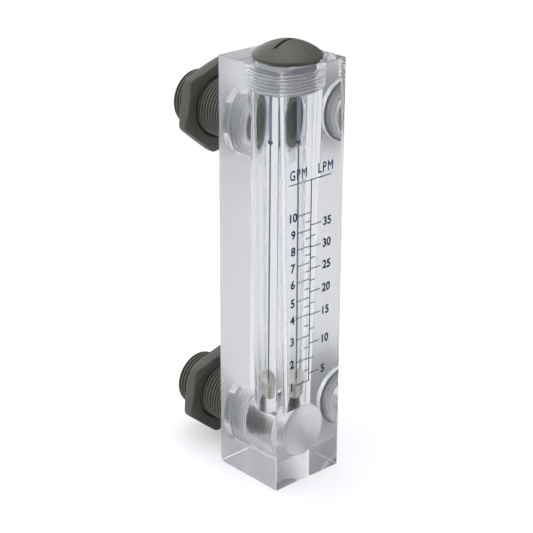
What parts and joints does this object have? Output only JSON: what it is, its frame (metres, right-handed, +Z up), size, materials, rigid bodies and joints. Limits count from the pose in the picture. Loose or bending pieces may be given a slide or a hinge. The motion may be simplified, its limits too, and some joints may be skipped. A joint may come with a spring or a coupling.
{
  "type": "acrylic flow meter",
  "caption": "Panel flow meter: a clear acrylic block with a tapered bore, a float on a guide rod, a slotted top plug and threaded back fittings with panel nuts.",
  "frame": {"origin": "centre of the block's flat bottom face", "axes": "+Z up along the block, +Y out of the back face along both fittings, +X along the front face to the right as the scale is read"},
  "size_m": [0.0412, 0.0761, 0.2016],
  "materials": {
    "acrylic": "polished clear",
    "pvc": "satin olive grey",
    "seal": "smooth",
    "bumper": "smooth",
    "steel": "drawn",
    "float_steel": "turned"
  },
  "bodies": {
    "meter": {"acrylic_body": "acrylic", "top_plug": "pvc", "plug_o_ring": "seal", "guide_rod": "steel", "stop_sleeve": "steel", "stop_bumper": "bumper", "rod_collar": "steel", "inlet_fitting": "pvc", "inlet_o_ring": "seal", "outlet_fitting": "pvc", "outlet_o_ring": "seal"},
    "float": {"metering_float": "float_steel"},
    "inlet_nut": {"inlet_panel_nut": "pvc"},
    "outlet_nut": {"outlet_panel_nut": "pvc"}
  },
  "joints": [
    {"name": "float_lift", "type": "slide", "parent": "meter", "child": "float", "axis": [0, 0, 1], "range_m": [0, 0.1095]},
    {"name": "inlet_nut_travel", "type": "slide", "parent": "meter", "child": "inlet_nut", "axis": [0, 1, 0], "range_m": [-0.0193, 0.012]},
    {"name": "outlet_nut_travel", "type": "slide", "parent": "meter", "child": "outlet_nut", "axis": [0, 1, 0], "range_m": [-0.0199, 0.0114]}
  ]
}
